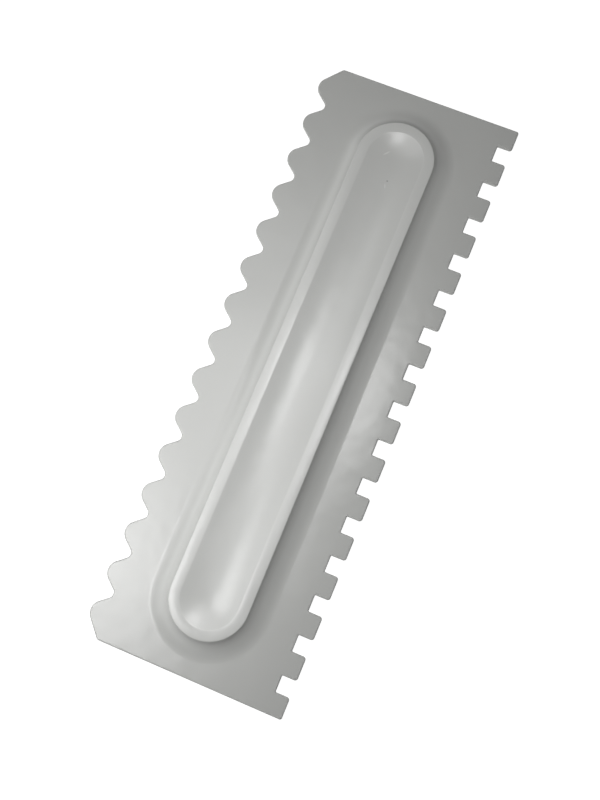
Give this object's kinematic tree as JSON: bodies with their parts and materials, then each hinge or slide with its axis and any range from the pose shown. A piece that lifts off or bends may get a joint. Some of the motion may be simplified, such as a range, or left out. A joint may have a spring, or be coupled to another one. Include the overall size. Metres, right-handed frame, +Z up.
{
  "type": "icing comb scraper",
  "caption": "Flat plastic scraper with a wave comb on one long edge, a square comb on the other and a raised grip hollowed for the thumb down the middle.",
  "frame": {"origin": "on the back of the sheet, under the centre of its outline", "axes": "+X across towards the square comb, +Y along the sheet, +Z up from the sheet to the grip side"},
  "size_m": [0.0764, 0.228, 0.0062],
  "materials": {
    "plastic": "satin off-white injection-moulded polypropylene"
  },
  "bodies": {
    "root": {"blade": "plastic", "wave_comb": "plastic", "square_comb": "plastic", "grip_rim": "plastic", "thumb_trough": "plastic"}
  },
  "joints": []
}
